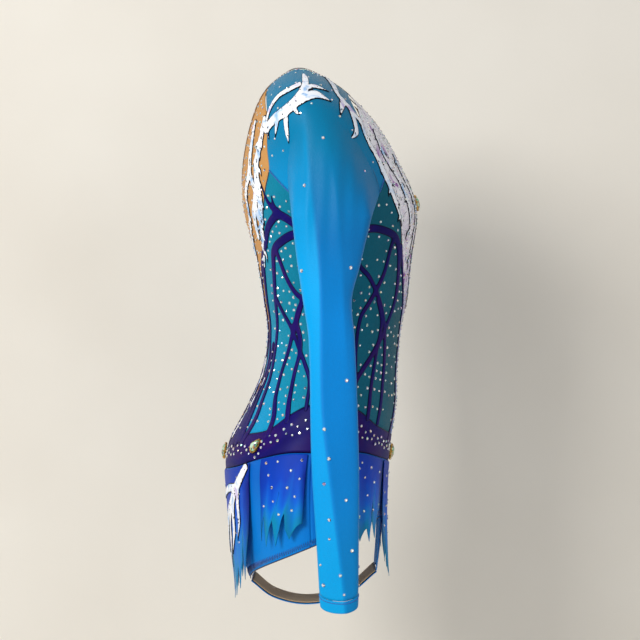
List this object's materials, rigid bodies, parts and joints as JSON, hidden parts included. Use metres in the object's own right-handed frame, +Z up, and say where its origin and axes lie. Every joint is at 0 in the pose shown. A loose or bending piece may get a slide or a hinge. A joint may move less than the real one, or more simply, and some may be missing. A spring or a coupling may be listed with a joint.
{
  "type": "gymnastics leotard",
  "caption": "Long-sleeved rhythmic gymnastics leotard with mesh panels, lattice appliques, crystals, a hip band and a skirt of separate petals.",
  "frame": {"origin": "on the body's centre line, level with the shoulder points, where the dress form holds the garment", "axes": "+Z up, the wearer faces -Y, the wearer's right side is at -X"},
  "size_m": [0.354, 0.2214, 0.5768],
  "materials": {
    "painted_mesh": "stretch mesh painted white, silver and lavender",
    "nude_mesh": "sheer skin-coloured stretch mesh",
    "teal_mesh": "teal stretch mesh with rows of small crystals",
    "cyan_mesh": "sheer cyan stretch mesh",
    "indigo_foil": "indigo satin-faced stretch cloth",
    "white_paint": "white cut-out with a black edge",
    "blue_lycra": "matt-sheen blue stretch knit",
    "petal_chiffon": "dyed chiffon, royal blue to teal",
    "lining": "thin knitted lining",
    "elastic": "covered flat elastic",
    "crystal": "faceted glass with a rainbow coating",
    "gold": "polished gold-coloured metal cup"
  },
  "bodies": {
    "garment": {"front_centre_panel": "painted_mesh", "neck_insert": "nude_mesh", "bust_lining": "lining", "right_front_side_panel": "teal_mesh", "left_front_side_panel": "teal_mesh", "right_back_side_panel": "teal_mesh", "left_back_side_panel": "teal_mesh", "back_mesh_panel": "nude_mesh", "right_sleeve_cap": "cyan_mesh", "left_sleeve_cap": "cyan_mesh", "hip_band_front": "indigo_foil", "hip_band_back": "indigo_foil", "brief_front": "blue_lycra", "brief_back": "blue_lycra", "crotch_gusset": "blue_lycra", "gusset_lining": "lining", "neckline_elastic": "elastic", "right_leg_elastic": "elastic", "left_leg_elastic": "elastic", "right_back_lattice": "indigo_foil", "left_back_lattice": "indigo_foil", "right_front_lattice": "indigo_foil", "left_front_lattice": "indigo_foil", "right_shoulder_branch": "white_paint", "left_shoulder_branch": "white_paint", "right_neck_branch": "white_paint", "left_neck_branch": "white_paint", "right_back_branch": "white_paint", "left_back_branch": "white_paint", "bust_setting": "gold", "bust_gem": "crystal", "front_hip_setting": "gold", "front_hip_gem": "crystal", "back_hip_setting": "gold", "back_hip_gem": "crystal", "right_hip_setting": "gold", "right_hip_gem": "crystal", "left_hip_setting": "gold", "left_hip_gem": "crystal"},
    "right_arm": {"right_sleeve": "cyan_mesh", "right_cuff_hem": "cyan_mesh"},
    "left_arm": {"left_sleeve": "cyan_mesh", "left_cuff_hem": "cyan_mesh"},
    "right_back_petal_body": {"right_back_petal": "petal_chiffon"},
    "left_back_petal_body": {"left_back_petal": "petal_chiffon"},
    "right_side_petal_body": {"right_side_petal": "petal_chiffon"},
    "left_side_petal_body": {"left_side_petal": "petal_chiffon"},
    "right_front_side_petal_body": {"right_front_side_petal": "petal_chiffon"},
    "left_front_side_petal_body": {"left_front_side_petal": "petal_chiffon"},
    "right_front_petal_body": {"right_front_petal": "petal_chiffon"},
    "left_front_petal_body": {"left_front_petal": "petal_chiffon"}
  },
  "joints": [
    {"name": "right_sleeve_lift", "type": "hinge", "parent": "garment", "child": "right_arm", "pos_m": [-0.1599, 0.0003, -0.0497], "axis": [0, 1, 0], "range_deg": [0, 90]},
    {"name": "left_sleeve_lift", "type": "hinge", "parent": "garment", "child": "left_arm", "pos_m": [0.1599, 0.0003, -0.0497], "axis": [0, -1, 0], "range_deg": [0, 90]},
    {"name": "right_back_petal_swing", "type": "hinge", "parent": "garment", "child": "right_back_petal_body", "pos_m": [-0.0617, 0.0959, -0.4168], "axis": [0.9442, 0.2922, -0.1519], "range_deg": [0, 60]},
    {"name": "left_back_petal_swing", "type": "hinge", "parent": "garment", "child": "left_back_petal_body", "pos_m": [0.0617, 0.0959, -0.4168], "axis": [0.9442, -0.2922, 0.1519], "range_deg": [0, 60]},
    {"name": "right_side_petal_swing", "type": "hinge", "parent": "garment", "child": "right_side_petal_body", "pos_m": [-0.1372, 0.0358, -0.3957], "axis": [0.4095, 0.9028, -0.1311], "range_deg": [0, 60]},
    {"name": "left_side_petal_swing", "type": "hinge", "parent": "garment", "child": "left_side_petal_body", "pos_m": [0.1372, 0.0358, -0.3957], "axis": [0.4095, -0.9028, 0.1311], "range_deg": [0, 60]},
    {"name": "right_front_side_petal_swing", "type": "hinge", "parent": "garment", "child": "right_front_side_petal_body", "pos_m": [-0.1028, -0.0557, -0.3993], "axis": [-0.8491, 0.5043, 0.1572], "range_deg": [0, 60]},
    {"name": "left_front_side_petal_swing", "type": "hinge", "parent": "garment", "child": "left_front_side_petal_body", "pos_m": [0.1028, -0.0557, -0.3993], "axis": [-0.8491, -0.5043, -0.1572], "range_deg": [0, 60]},
    {"name": "right_front_petal_swing", "type": "hinge", "parent": "garment", "child": "right_front_petal_body", "pos_m": [-0.0336, -0.0776, -0.4111], "axis": [-0.9834, 0.122, 0.1344], "range_deg": [0, 60]},
    {"name": "left_front_petal_swing", "type": "hinge", "parent": "garment", "child": "left_front_petal_body", "pos_m": [0.0336, -0.0776, -0.4111], "axis": [-0.9834, -0.122, -0.1344], "range_deg": [0, 60]}
  ]
}
